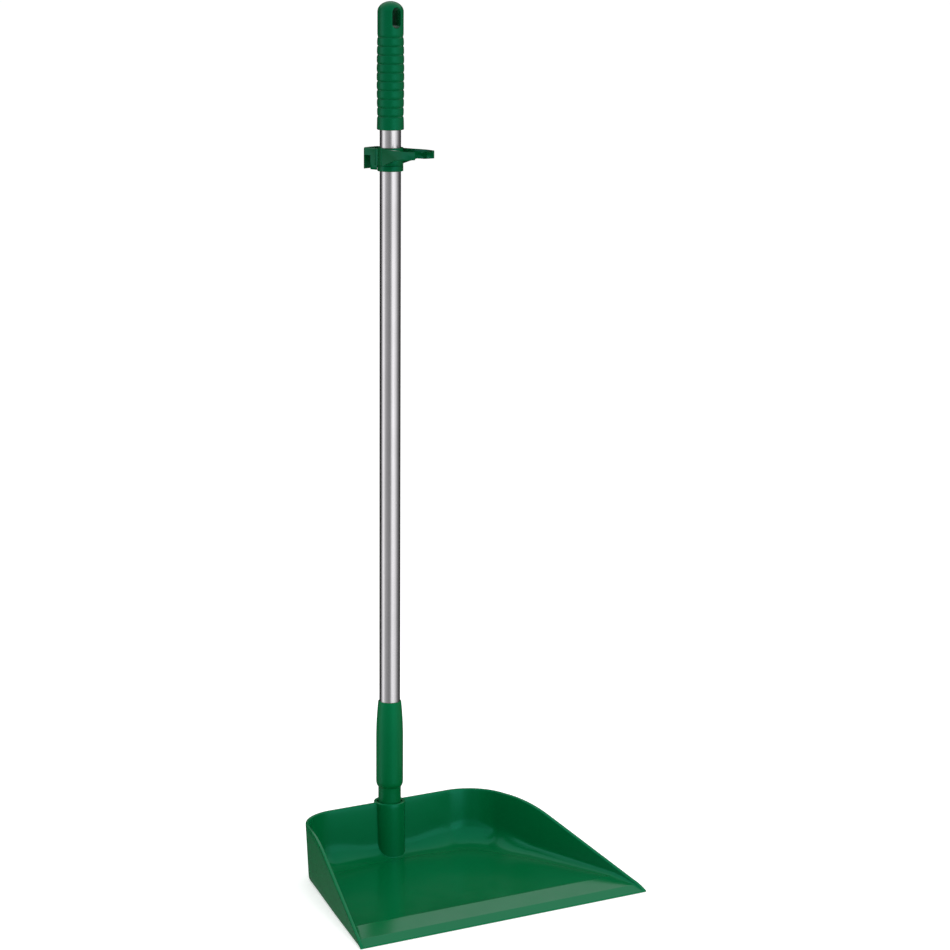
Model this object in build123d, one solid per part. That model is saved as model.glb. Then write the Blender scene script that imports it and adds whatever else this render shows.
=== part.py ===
from build123d import *
import math
import os

# Upright dust pan: a moulded pan with a threaded socket at its back, a screw-in
# handle (ferrule, aluminium tube, ribbed grip) and a clip that slides and swivels
# on the tube and holds a broom's handle.
# Millimetres. +Z is up along the handle, -Y points out over the front lip, X is
# across the pan. The origin is on the handle's axis, on the floor.
# A "_reach" is measured from the handle's axis.

os.makedirs("parts", exist_ok=True)

# ---- pan -----------------------------------------------------------------
pan_height = 71.0            # floor to the top of the back wall
lip_reach = 270.0            # handle axis to the front edge of the lip
lip_width = 388.0            # across the front edge
back_width = 243.0           # between the side faces, level with the handle axis
back_setback = -1.2          # y of the back face where it meets the floor
corner_radius = 52.0         # back corners in plan, at the floor
pan_wall = 4.0
wall_draft = 3.0             # degrees that every wall leans outwards
floor_thickness = 2.5
ramp_depth = 47.0            # lip to the top of the front ramp
crease_height = 9.5          # top of the front ramp
bevel_depth = 14.0           # lip to where the ramp turns into the lip bevel
bevel_height = 6.4
lip_edge = 1.4               # thickness of the front edge
floor_fillet = 14.0          # floor to walls
base_round = 3.0             # outer bottom edge
rear_foot = 50.0             # depth of the flat foot under the back of the pan
rim_level = lip_reach * 52 / 270         # the rim stays level out to here, then slopes down
rim_slope_start = lip_reach * 116 / 270
rim_shoulder_drop = 11.1     # fall of the rim over its rounded shoulder
rim_tip_length = 16.0        # round nose of each side wall
rim_tip_rise = 8.8

# ---- tube -----------------------------------------------------------------
tube_radius = 12.5
tube_wall = 1.2
tube_length = 888.0

# ---- threaded socket in the pan, and the thread on the ferrule -------------
# The fits are built from the tube's radius across, and from the pan's height along.
mouth_radius = tube_radius + 2.5
neck_gap = 1.25              # mouth to the ferrule's neck
socket_wall = 4.0
socket_edge = 0.9            # round on the socket's mouth
neck_step = 1.35             # neck down to the plain part that centres the handle
thread_step = 1.4            # plain part down to the thread's crest
thread_depth = 1.3
mouth_depth = pan_height * 12 / 71
pilot_length = pan_height * 10 / 71
thread_length = pan_height * 30 / 71
socket_end_gap = pan_height * 10 / 71    # below the end of the thread
thread_end = 1.0             # plain end of the handle's thread
thread_turns = 6
thread_root_share = 0.6      # of the pitch
thread_crest_share = 0.28
thread_gap = 0.3             # round every flank of the thread
running_gap = 0.1
seat_gap = 0.3               # between the neck's shoulder and the mouth's floor

# ---- ferrule --------------------------------------------------------------
neck_length = 18.4           # of the neck that shows above the socket
ferrule_wall = 3.85          # over the tube
ferrule_shoulder = 8.0       # length of the rounded bottom end
ferrule_waist = 60.6         # neck to where the taper starts
ferrule_length = 107.1       # above the neck
ferrule_lip = 1.4            # wall at the top
ferrule_core = 6.5           # hollow in the threaded end
ferrule_core_floor = 3.0
tube_seat_rise = 22.6        # neck to where the tube's end rests in the ferrule

# ---- grip -----------------------------------------------------------------
grip_length = 148.3
grip_cap = 33.6              # solid top over the tube's end
grip_wall = 2.8              # over the tube
grip_belly_wall = 3.55       # ribs at the middle of the grip
grip_end_wall = 3.4
grip_end_chamfer = 1.2
grip_end_chamfer_height = 1.6
rib_count = 9
rib_first = 15.7             # lowest groove above the grip's bottom
rib_top_gap = 41.25          # top groove to the top of the grip
groove_depth = 0.85
dome_height = 12.1
slot_width = 11.0
slot_height = 24.0
slot_below_top = 18.9        # top of the grip to the slot's centre

# ---- clip -----------------------------------------------------------------
clip_height = 27.4
clip_below_grip = 20.7
clip_turn = 16.3             # degrees to the left of straight ahead, seen from above
clip_wall = 2.7              # flange and collar over the tube
flange_height = 6.4
sleeve_wall = 1.2
sleeve_gap = 0.05            # running gap on the tube and in the jaw
sleeve_slit = 4.0
snap_lip = 0.6               # how far the sleeve's top lip stands out
snap_height = 1.4
jaw_gap = 0.35               # jaw to flange and to snap lip
jaw_wall = 2.4
collar_rise = 1.2            # collar's top above the arms and the loop
handle_held_radius = 16.0    # the broom handle that the jaw holds
handle_held_gap = 0.2
handle_held_space = 5.8      # collar to the held handle
arm_wall = 4.6               # round the held handle, at the bend
arm_tip_wall = 1.8
arm_bend_past = 2.0          # held axis to the bend in the arms
arm_tip_past = 17.0          # held axis to the arms' tips
arm_tip_flare = 1.2          # tips over the held radius
arm_tip_height = 9.0
arm_bend_height = 10.8
arm_edge_start = 2.0         # tube axis to where the arms' lower edge starts to rise
arm_edge_length = 12.5       # level part of the lower edge
arm_top_wall = 1.3           # outer wall round the cut-down top of each arm
arm_top_cut = 2.4
loop_depth = 18.2            # collar to the back of the loop
loop_inset = 2.7             # sides of the loop, inside the collar's width
loop_corner = 4.0
loop_top_round = 1.6         # round along the rear top edge
loop_window_width = 10.7
loop_window_top = 8.6        # solid bar over the window
loop_rise = 1.2              # the loop's lower edge above the flange's bottom
rib_width = 1.8              # upright ribs on the sides of the clip
rib_proud = 0.5
loop_rib_reach = 12.6        # tube axis to the ribs on the loop's sides

# ---- sizes that follow from those above --------------------------------------
far = 2 * lip_width          # larger than any piece but the tube
over = 90.0                  # how far cutting shapes run past the pan
flare = (lip_width - back_width) / 2 / lip_reach
crease_reach = lip_reach - ramp_depth
bevel_reach = lip_reach - bevel_depth
socket_top = pan_height
socket_radius = mouth_radius + socket_wall
neck_radius = mouth_radius - neck_gap
pilot_radius = neck_radius - neck_step
thread_crest = pilot_radius - thread_step
thread_core = thread_crest - thread_depth
thread_pitch = thread_length / thread_turns
mouth_floor = socket_top - mouth_depth
neck_bottom = mouth_floor + seat_gap
thread_top = mouth_floor - pilot_length
thread_bottom = thread_top - thread_length
socket_floor = thread_bottom - thread_end - socket_end_gap
neck_top = socket_top + neck_length
ferrule_radius = tube_radius + ferrule_wall
ferrule_top = neck_top + ferrule_length
tube_seat = neck_top + tube_seat_rise
grip_cover = grip_length - grip_cap
grip_radius = tube_radius + grip_wall
grip_belly = tube_radius + grip_belly_wall
grip_end_radius = tube_radius + grip_end_wall
rib_pitch = (grip_length - rib_first - rib_top_gap) / rib_count
grip_bottom = tube_seat + tube_length - grip_cover
clip_radius = tube_radius + clip_wall
clip_top = grip_bottom - clip_below_grip
clip_bottom = clip_top - clip_height
arm_top = clip_top - collar_rise
jaw_bottom = clip_bottom + flange_height + jaw_gap
sleeve_outer = tube_radius + sleeve_gap + sleeve_wall
handle_held_offset = clip_radius + handle_held_space + handle_held_radius
arm_bend = handle_held_offset + arm_bend_past
arm_bend_half_width = handle_held_radius + arm_wall
arm_reach = handle_held_offset + arm_tip_past
arm_tip_half_width = handle_held_radius + arm_tip_flare
arm_throat = handle_held_radius / 2          # held axis to the narrowest part of the mouth
arm_edge_end = arm_bend - arm_edge_length
loop_reach = clip_radius + loop_depth
loop_width = 2 * (clip_radius - loop_inset)


def save(shape, node):
    shape.label = node
    export_step(shape, f"parts/{node}.step")


def revolved(points):
    """Solid of revolution about Z from (radius, z) corners."""
    profile = make_face(Polyline([(r, 0, z) for r, z in points], close=True))
    return revolve(profile, axis=Axis.Z)


def across(points):
    """Prism through the whole pan from (y, z) corners."""
    face = make_face(Polyline([(-far, y, z) for y, z in points], close=True))
    return extrude(face, amount=2 * far, dir=(1, 0, 0))


# ---- pan --------------------------------------------------------------------
def plan(inset):
    """Plan of the pan: back edge, two round corners and two flared sides."""
    back_y = back_setback - inset
    front_y = -lip_reach - over
    side_inset = inset * math.hypot(1, flare)

    def half_width(y):
        return back_width / 2 - flare * y - side_inset

    corners = [
        (half_width(back_y), back_y),
        (-half_width(back_y), back_y),
        (-half_width(front_y), front_y),
        (half_width(front_y), front_y),
    ]
    face = make_face(Polyline(corners, close=True))
    back_corners = face.vertices().sort_by(Axis.Y)[-2:]
    return fillet(back_corners, corner_radius - inset)


def floor_height(y):
    """The floor climbs from the back of the pan to the crease."""
    start = back_setback - pan_wall
    climb = (crease_height - floor_thickness) / (crease_reach + start)
    return floor_thickness + (start - y) * climb


def below_rim():
    """Everything under the rim line: level, rounded shoulder, slope, rounded tip."""
    level_end = (-rim_level, pan_height)
    slope_start = (-rim_slope_start, pan_height - rim_shoulder_drop)
    slope_end = (rim_tip_length - lip_reach, lip_edge + rim_tip_rise)
    down = (slope_end[0] - slope_start[0], slope_end[1] - slope_start[1])
    lip = (-lip_reach, lip_edge)
    top = Line((over, pan_height), level_end)
    shoulder = TangentArc(level_end, slope_start, tangent=(-1, 0))
    slope = Line(slope_start, slope_end)
    tip = TangentArc(slope_end, lip, tangent=down)
    base = Polyline(lip, (-lip_reach, -1), (over, -1), (over, pan_height))
    face = make_face([top, shoulder, slope, tip, base])
    upright = Plane(origin=(-far, 0, 0), x_dir=(0, 1, 0), z_dir=(1, 0, 0))
    return extrude(upright * face, amount=2 * far, dir=(1, 0, 0))


def tray_hollow():
    """The space inside the walls and above the climbing floor, with round lower edges."""
    block = extrude(plan(pan_wall), amount=2 * pan_height, taper=-wall_draft)
    front = -lip_reach - over
    above_floor = across([
        (over, floor_height(over)),
        (front, floor_height(front)),
        (front, far),
        (over, far),
    ])
    hollow = block & above_floor
    floor_face = hollow.faces().sort_by(Axis.Z)[0]
    edges = floor_face.edges().sort_by(Axis.Y)[1:]
    return fillet(edges, floor_fillet)


def ramp_hollow():
    """The space over the front ramp and the lip bevel."""
    block = extrude(plan(pan_wall), amount=2 * pan_height, taper=-wall_draft)
    lip_fall = (bevel_height - lip_edge) / bevel_depth
    front = lip_reach + over
    return block & across([
        (-crease_reach, crease_height),
        (-bevel_reach, bevel_height),
        (-front, lip_edge - lip_fall * (front - lip_reach)),
        (-front, far),
        (-crease_reach, far),
    ])


def underside_hollow():
    """Shallow hollow under the floor, between the rear foot, the skirts and the lip."""
    block = extrude(plan(pan_wall), amount=pan_height, taper=-wall_draft)
    return block & across([
        (-rear_foot, -1),
        (-rear_foot, floor_height(-rear_foot) - floor_thickness),
        (-crease_reach, crease_height - floor_thickness),
        (-bevel_reach, -1),
    ])


def thread_profile(core, crest, top, grow):
    """(radius, z) corners of a ring thread, from the top ring down."""
    points = []
    for turn in range(thread_turns):
        middle = top - thread_pitch * (turn + 0.5)
        root = thread_pitch * thread_root_share / 2 + grow
        tip = thread_pitch * thread_crest_share / 2 + grow
        points += [(core, middle + root), (crest, middle + tip)]
        points += [(crest, middle - tip), (core, middle - root)]
    return points


def socket_bore():
    """Mouth, plain pilot bore and female thread."""
    core = thread_core + thread_gap
    crest = thread_crest + thread_gap
    above = socket_top + over
    points = [(0, above), (mouth_radius, above), (mouth_radius, mouth_floor)]
    points += [(pilot_radius + running_gap, mouth_floor), (pilot_radius + running_gap, thread_top)]
    points += [(core, thread_top)]
    points += thread_profile(core, crest, thread_top, thread_gap)
    points += [(core, socket_floor), (0, socket_floor)]
    return revolved(points)


def make_pan():
    outside = extrude(plan(0), amount=2 * pan_height, taper=-wall_draft)
    bottom = outside.faces().sort_by(Axis.Z)[0]
    outside = fillet(bottom.edges().sort_by(Axis.Y)[1:], base_round)
    body = (outside & below_rim()) - tray_hollow() - ramp_hollow() - underside_hollow()
    socket = Cylinder(socket_radius, socket_top, align=(Align.CENTER, Align.CENTER, Align.MIN))
    socket = fillet(socket.edges().sort_by(Axis.Z)[-1:], socket_edge)
    return body + socket - socket_bore()


# ---- handle -----------------------------------------------------------------
def make_ferrule():
    end = thread_bottom - thread_end
    core_floor = end + ferrule_core_floor + thread_end
    taper_start = neck_top + ferrule_waist
    top_radius = tube_radius + ferrule_lip
    outer = [(0, end), (thread_core, end)]
    rings = thread_profile(thread_core, thread_crest, thread_top, 0)
    outer += list(reversed(rings))
    outer += [(thread_core, thread_top + seat_gap), (pilot_radius, thread_top + seat_gap)]
    outer += [(pilot_radius, neck_bottom), (neck_radius, neck_bottom), (neck_radius, neck_top)]
    lower = Polyline([(r, 0, z) for r, z in outer])
    shoulder_top = neck_top + ferrule_shoulder
    shoulder = Spline(
        [(neck_radius, 0, neck_top), (ferrule_radius, 0, shoulder_top)],
        tangents=[(1, 0, 0.9), (0, 0, 1)],
    )
    waist = Line((ferrule_radius, 0, shoulder_top), (ferrule_radius, 0, taper_start))
    taper = Spline(
        [(ferrule_radius, 0, taper_start), (top_radius, 0, ferrule_top)],
        tangents=[(0, 0, 1), (-0.1, 0, 1)],
    )
    inner = Polyline([
        (top_radius, 0, ferrule_top),
        (tube_radius, 0, ferrule_top),
        (tube_radius, 0, tube_seat),
        (ferrule_core, 0, tube_seat),
        (ferrule_core, 0, core_floor),
        (0, 0, core_floor),
        (0, 0, end),
    ])
    return revolve(make_face([lower, shoulder, waist, taper, inner]), axis=Axis.Z)


def make_tube():
    return revolved([
        (tube_radius - tube_wall, tube_seat),
        (tube_radius, tube_seat),
        (tube_radius, tube_seat + tube_length),
        (tube_radius - tube_wall, tube_seat + tube_length),
    ])


def rib_radius(height):
    """Barrel shape that the ribs follow, widest at the middle of the ribs."""
    middle = rib_first + rib_count * rib_pitch / 2
    share = (height - middle) / (rib_count * rib_pitch / 2 + rib_pitch / 2)
    return grip_belly - (grip_belly - grip_radius) * share ** 2


def make_grip():
    top = grip_bottom + grip_length
    shoulder = top - dome_height
    grooves = [rib_first + i * rib_pitch for i in range(rib_count + 1)]
    groove_points = [(rib_radius(h) - groove_depth, 0, grip_bottom + h) for h in grooves]
    edges = [Polyline([
        (tube_radius, 0, grip_bottom),
        (grip_end_radius - grip_end_chamfer, 0, grip_bottom),
        (grip_end_radius, 0, grip_bottom + grip_end_chamfer_height),
        groove_points[0],
    ])]
    for low, high in zip(groove_points, groove_points[1:]):
        middle = (low[2] + high[2]) / 2
        crown = (rib_radius(middle - grip_bottom), 0, middle)
        edges.append(ThreePointArc(low, crown, high))
    edges.append(ThreePointArc(
        groove_points[-1],
        (grip_radius - 0.2, 0, groove_points[-1][2] + rib_pitch / 4),
        (grip_radius, 0, groove_points[-1][2] + rib_pitch / 2),
    ))
    edges.append(Line(edges[-1] @ 1, (grip_radius, 0, shoulder)))
    dome_plane = Plane(origin=(0, 0, shoulder), x_dir=(1, 0, 0), z_dir=(0, -1, 0))
    dome = EllipticalCenterArc((0, 0), grip_radius, dome_height, start_angle=0, arc_size=90)
    edges.append(dome_plane * dome)
    bore_top = grip_bottom + grip_cover
    edges.append(Polyline([(0, 0, top), (0, 0, bore_top), (tube_radius, 0, bore_top),
                           (tube_radius, 0, grip_bottom)]))
    grip = revolve(make_face(edges), axis=Axis.Z)
    slot_plane = Plane(origin=(0, -over, top - slot_below_top), x_dir=(0, 0, 1), z_dir=(0, 1, 0))
    slot = extrude(slot_plane * SlotOverall(slot_height, slot_width), amount=2 * over)
    return grip - slot


# ---- clip -------------------------------------------------------------------
# The clip is drawn with its mouth along +X and turned to its place at the end.
def turned(shape):
    return Rot(0, 0, clip_turn - 90) * shape


def make_sleeve():
    """Split friction sleeve: flange below, snap lip above, slit at the back."""
    flange_top = clip_bottom + flange_height
    sleeve = revolved([
        (tube_radius + sleeve_gap, clip_bottom),
        (clip_radius, clip_bottom),
        (clip_radius, flange_top),
        (sleeve_outer, flange_top),
        (sleeve_outer, clip_top - snap_height),
        (sleeve_outer + snap_lip, clip_top - snap_height),
        (sleeve_outer + snap_lip / 3, clip_top),
        (tube_radius + sleeve_gap, clip_top),
    ])
    slit = Box(2 * clip_radius, sleeve_slit, 3 * clip_height, align=(Align.MAX, Align.CENTER, Align.CENTER))
    return turned(sleeve - Pos(0, 0, clip_bottom) * slit)


def jaw_arms():
    """Two arms that hook round the held handle, thinner in height towards their tips."""
    outline = Polyline([
        (0, -clip_radius),
        (arm_bend, -arm_bend_half_width),
        (arm_reach, -arm_tip_half_width),
        (arm_reach, arm_tip_half_width),
        (arm_bend, arm_bend_half_width),
        (0, clip_radius),
    ], close=True)
    height = arm_top - clip_bottom
    arms = extrude(make_face(outline), amount=height)
    pocket_radius = handle_held_radius + handle_held_gap
    throat = math.sqrt(pocket_radius ** 2 - arm_throat ** 2)
    mouth = arm_tip_half_width - arm_tip_wall
    throat_x = handle_held_offset + arm_throat
    inside = clip_radius - jaw_wall
    arms -= Pos(handle_held_offset, 0, 0) * Cylinder(pocket_radius, 3 * clip_height)
    arms -= extrude(make_face(Polyline([
        (handle_held_offset, -throat), (throat_x, -throat), (arm_reach + 1, -mouth),
        (arm_reach + 1, mouth), (throat_x, throat), (handle_held_offset, throat),
    ], close=True)), amount=height)
    arms -= Box(handle_held_offset, 2 * inside, 3 * clip_height,
                align=(Align.MIN, Align.CENTER, Align.CENTER))
    arms -= Pos(0, 0, height - arm_top_cut) * arm_top_recess()
    return Pos(0, 0, clip_bottom) * arms & arm_side_view()


def arm_top_recess():
    """Block that cuts the arms' tops down, all but a thin wall along their outer sides."""
    near = clip_radius - arm_top_wall
    bend = arm_bend_half_width - arm_top_wall
    tip = arm_tip_half_width - arm_top_wall
    return extrude(make_face(Polyline([
        (clip_radius, -near), (arm_bend, -bend), (arm_reach - arm_top_wall, -tip),
        (arm_reach - arm_top_wall, tip), (arm_bend, bend), (clip_radius, near),
    ], close=True)), amount=clip_height)


def arm_side_view():
    """Side view of the arms: full height at the collar, rising lower edge, slim tips."""
    side = Polyline([
        (-1, arm_top),
        (-1, jaw_bottom),
        (arm_edge_start, jaw_bottom),
        (arm_edge_end, arm_top - arm_bend_height),
        (arm_bend, arm_top - arm_bend_height),
        (arm_reach + 1, arm_top - arm_tip_height),
        (arm_reach + 1, arm_top),
    ], close=True)
    upright = Plane(origin=(0, over, 0), x_dir=(1, 0, 0), z_dir=(0, -1, 0))
    return extrude(upright * make_face(side), amount=2 * over)


def jaw_loop():
    """Closed loop behind the collar, with a window in each side that opens downwards."""
    height = arm_top - clip_bottom - loop_rise
    outer = Pos(-loop_reach / 2, 0) * Rectangle(loop_reach, loop_width)
    outer = fillet(outer.vertices().sort_by(Axis.X)[:2], loop_corner)
    inner = Pos(-loop_reach / 2 + jaw_wall, 0) * Rectangle(loop_reach, loop_width - 2 * jaw_wall)
    inner = fillet(inner.vertices().sort_by(Axis.X)[:2], loop_corner - jaw_wall)
    block = extrude(outer, amount=height)
    rear_top = block.edges().group_by(Axis.Z)[-1].sort_by(Axis.X)[0]
    block = fillet(rear_top, loop_top_round)
    walls = block - extrude(inner, amount=height)
    window = Box(loop_window_width, over, height - loop_window_top,
                 align=(Align.MIN, Align.CENTER, Align.MIN))
    walls -= Pos(-loop_reach + jaw_wall, 0, 0) * window
    return Pos(0, 0, arm_top - height) * walls


def side_ribs():
    """Upright rounded ribs: where each arm leaves the collar, and on the loop's sides."""
    rib = Box(rib_width, 2 * rib_proud, arm_top - jaw_bottom, align=(Align.CENTER, Align.CENTER, Align.MIN))
    rib = fillet(rib.edges().filter_by(Axis.Z), rib_proud * 0.9)
    ribs = []
    for side in (-1, 1):
        ribs.append(Pos(0, side * clip_radius, jaw_bottom) * rib)
        ribs.append(Pos(-loop_rib_reach, side * loop_width / 2, jaw_bottom) * rib)
    return ribs


def make_jaw():
    collar = Cylinder(clip_radius, clip_top - jaw_bottom, align=(Align.CENTER, Align.CENTER, Align.MIN))
    jaw = Pos(0, 0, jaw_bottom) * collar + jaw_arms() + jaw_loop()
    for rib in side_ribs():
        jaw += rib
    bore = revolved([
        (0, clip_bottom - 1),
        (clip_radius + jaw_gap, clip_bottom - 1),
        (clip_radius + jaw_gap, jaw_bottom),
        (sleeve_outer + sleeve_gap, jaw_bottom),
        (sleeve_outer + sleeve_gap, clip_top - snap_height - jaw_gap),
        (sleeve_outer + snap_lip + jaw_gap, clip_top - snap_height - jaw_gap),
        (sleeve_outer + snap_lip + jaw_gap, clip_top + 1),
        (0, clip_top + 1),
    ])
    return turned(jaw - bore)


save(make_pan(), "pan")
save(make_ferrule(), "ferrule")
save(make_tube(), "tube")
save(make_grip(), "grip")
save(make_sleeve(), "clip_sleeve")
save(make_jaw(), "clip_jaw")
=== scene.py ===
import bpy
import math
import numpy as np
from mathutils import Matrix, Vector


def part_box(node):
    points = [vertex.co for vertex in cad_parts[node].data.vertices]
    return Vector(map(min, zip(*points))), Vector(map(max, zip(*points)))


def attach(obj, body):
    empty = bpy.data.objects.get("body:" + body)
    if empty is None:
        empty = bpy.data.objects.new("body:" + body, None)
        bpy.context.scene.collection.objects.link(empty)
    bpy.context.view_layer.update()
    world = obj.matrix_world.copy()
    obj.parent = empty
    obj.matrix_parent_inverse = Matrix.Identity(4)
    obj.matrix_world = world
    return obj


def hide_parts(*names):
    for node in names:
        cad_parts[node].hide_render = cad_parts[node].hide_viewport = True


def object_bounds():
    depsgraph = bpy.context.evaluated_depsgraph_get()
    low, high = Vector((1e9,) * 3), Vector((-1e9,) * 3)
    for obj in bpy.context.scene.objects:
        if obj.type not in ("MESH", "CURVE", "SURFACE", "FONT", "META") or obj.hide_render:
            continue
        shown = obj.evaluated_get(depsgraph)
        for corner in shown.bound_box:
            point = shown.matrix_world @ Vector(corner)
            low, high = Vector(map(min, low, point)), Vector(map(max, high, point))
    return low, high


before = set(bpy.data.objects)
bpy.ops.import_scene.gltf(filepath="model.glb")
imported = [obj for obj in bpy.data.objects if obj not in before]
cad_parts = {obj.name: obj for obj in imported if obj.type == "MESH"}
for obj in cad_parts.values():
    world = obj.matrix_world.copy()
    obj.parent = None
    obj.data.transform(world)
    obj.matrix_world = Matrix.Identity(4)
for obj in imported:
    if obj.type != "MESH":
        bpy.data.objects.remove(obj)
cad_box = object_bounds()
scene = bpy.context.scene
scene.view_settings.view_transform = "Standard"
MM = 0.001


# ---- camera, lights and floor -------------------------------------------------
CAMERA_AZIMUTH = -31.74
CAMERA_LENS = 117.5
CAMERA_PLACE = (-1.8203, -3.1350, 1.1987)
CAMERA_RIGHT = (0.85109, -0.52498, 0.00659)
CAMERA_UP = (0.09728, 0.17002, 0.98063)
FLOOR_SIDE = 60
FLOOR_GAP = 0.0004           # the floor lies just under the pan
FILL_STRENGTH = 0.62
# What the gloss reflects: (degrees to the right of the camera, brightness)
BANDS = [(-180, 0.01), (-125, 0.03), (-105, 0.15), (-88, 1.05), (-72, 1.45), (-52, 0.66), (-34, 0.44),
         (0, 0.30), (12, 0.62), (24, 1.42), (44, 1.50), (62, 1.10), (80, 0.62), (98, 0.24),
         (128, 0.05), (180, 0.01)]
# Above and below the bands: (brightness, from, to), in degrees above the horizon
OVERHEAD = (0.80, 21, 28)
UNDERFOOT = (0.13, -18, -22)


def polar(angle, distance, height):
    """A point round the handle: angle in degrees to the right of the camera."""
    a = math.radians(CAMERA_AZIMUTH + angle)
    return Vector((math.sin(a) * distance, -math.cos(a) * distance, height))


def add_camera():
    data = bpy.data.cameras.new("camera")
    data.lens = CAMERA_LENS
    data.sensor_width = 36.0
    obj = bpy.data.objects.new("camera", data)
    scene.collection.objects.link(obj)
    right = Vector(CAMERA_RIGHT)
    up = Vector(CAMERA_UP)
    back = right.cross(up)
    rows = [(right[i], up[i], back[i], CAMERA_PLACE[i]) for i in range(3)]
    obj.matrix_world = Matrix((*rows, (0, 0, 0, 1)))
    scene.camera = obj


def add_area(name, place, target, size, power):
    data = bpy.data.lights.new(name, "AREA")
    data.shape = "RECTANGLE"
    data.size, data.size_y = size
    data.energy = power
    obj = bpy.data.objects.new(name, data)
    scene.collection.objects.link(obj)
    obj.location = place
    obj.rotation_euler = (target - place).to_track_quat("-Z", "Y").to_euler()
    obj.visible_camera = False
    obj.visible_glossy = False
    return obj


def add_world():
    """White fill light, with soft bands round the horizon for what the gloss reflects."""
    world = bpy.data.worlds.new("studio")
    scene.world = world
    world.cycles.sampling_method = "NONE"
    world.use_nodes = True
    nodes, links = world.node_tree.nodes, world.node_tree.links
    nodes.clear()
    out = nodes.new("ShaderNodeOutputWorld")
    mix = nodes.new("ShaderNodeMixShader")
    path = nodes.new("ShaderNodeLightPath")
    fill = nodes.new("ShaderNodeBackground")
    fill.inputs["Color"].default_value = (1, 1, 1, 1)
    fill.inputs["Strength"].default_value = FILL_STRENGTH
    gloss = nodes.new("ShaderNodeBackground")
    links.new(path.outputs["Is Glossy Ray"], mix.inputs["Fac"])
    links.new(fill.outputs[0], mix.inputs[1])
    links.new(gloss.outputs[0], mix.inputs[2])
    links.new(mix.outputs[0], out.inputs["Surface"])
    coords = nodes.new("ShaderNodeTexCoord")
    turn = nodes.new("ShaderNodeVectorRotate")
    turn.rotation_type = "Z_AXIS"
    turn.inputs["Angle"].default_value = math.radians(90 - CAMERA_AZIMUTH)
    links.new(coords.outputs["Generated"], turn.inputs["Vector"])
    split = nodes.new("ShaderNodeSeparateXYZ")
    links.new(turn.outputs[0], split.inputs[0])
    angle = nodes.new("ShaderNodeMath")
    angle.operation = "ARCTAN2"
    links.new(split.outputs["Y"], angle.inputs[0])
    links.new(split.outputs["X"], angle.inputs[1])
    share = nodes.new("ShaderNodeMapRange")
    share.inputs["From Min"].default_value = -math.pi
    share.inputs["From Max"].default_value = math.pi
    links.new(angle.outputs[0], share.inputs["Value"])
    ramp = nodes.new("ShaderNodeValToRGB")
    ramp.color_ramp.interpolation = "EASE"
    set_stops(ramp, [((d + 180) / 360, (v, v, v)) for d, v in BANDS])
    links.new(share.outputs[0], ramp.inputs["Fac"])
    colour = ramp.outputs["Color"]
    for brightness, start, end in (OVERHEAD, UNDERFOOT):
        fade = nodes.new("ShaderNodeMapRange")
        fade.interpolation_type = "SMOOTHSTEP"
        fade.inputs["From Min"].default_value = math.sin(math.radians(start))
        fade.inputs["From Max"].default_value = math.sin(math.radians(end))
        links.new(split.outputs["Z"], fade.inputs["Value"])
        blend = nodes.new("ShaderNodeMix")
        blend.data_type = "RGBA"
        blend.inputs[7].default_value = (brightness, brightness, brightness, 1)
        links.new(fade.outputs[0], blend.inputs[0])
        links.new(colour, blend.inputs[6])
        colour = blend.outputs[2]
    links.new(colour, gloss.inputs["Color"])


def set_stops(ramp, stops):
    """Fills a ColorRamp node from (position, colour) pairs."""
    elements = ramp.color_ramp.elements
    for i, (position, colour) in enumerate(stops):
        if i == 0:
            stop = elements[0]
        elif i == len(stops) - 1:
            stop = elements[-1]
        else:
            stop = elements.new(position)
        stop.position = position
        stop.color = (*colour, 1)


def add_floor():
    """A plain pale floor, large enough to be the whole background."""
    side = FLOOR_SIDE
    corners = [(-side, -side, 0), (side, -side, 0), (side, side, 0), (-side, side, 0)]
    mesh = bpy.data.meshes.new("floor")
    mesh.from_pydata(corners, [], [(0, 1, 2, 3)])
    obj = bpy.data.objects.new("floor", mesh)
    scene.collection.objects.link(obj)
    obj.location.z = cad_box[0].z - FLOOR_GAP
    obj.visible_glossy = False
    material = bpy.data.materials.new("pale_floor")
    material.use_nodes = True
    shader = material.node_tree.nodes["Principled BSDF"]
    shader.inputs["Base Color"].default_value = (0.93, 0.93, 0.93, 1)
    shader.inputs["Roughness"].default_value = 0.9
    shader.inputs["Emission Color"].default_value = (1, 1, 1, 1)
    shader.inputs["Emission Strength"].default_value = 0.45
    material.cycles.emission_sampling = "NONE"
    mesh.materials.append(material)


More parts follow.
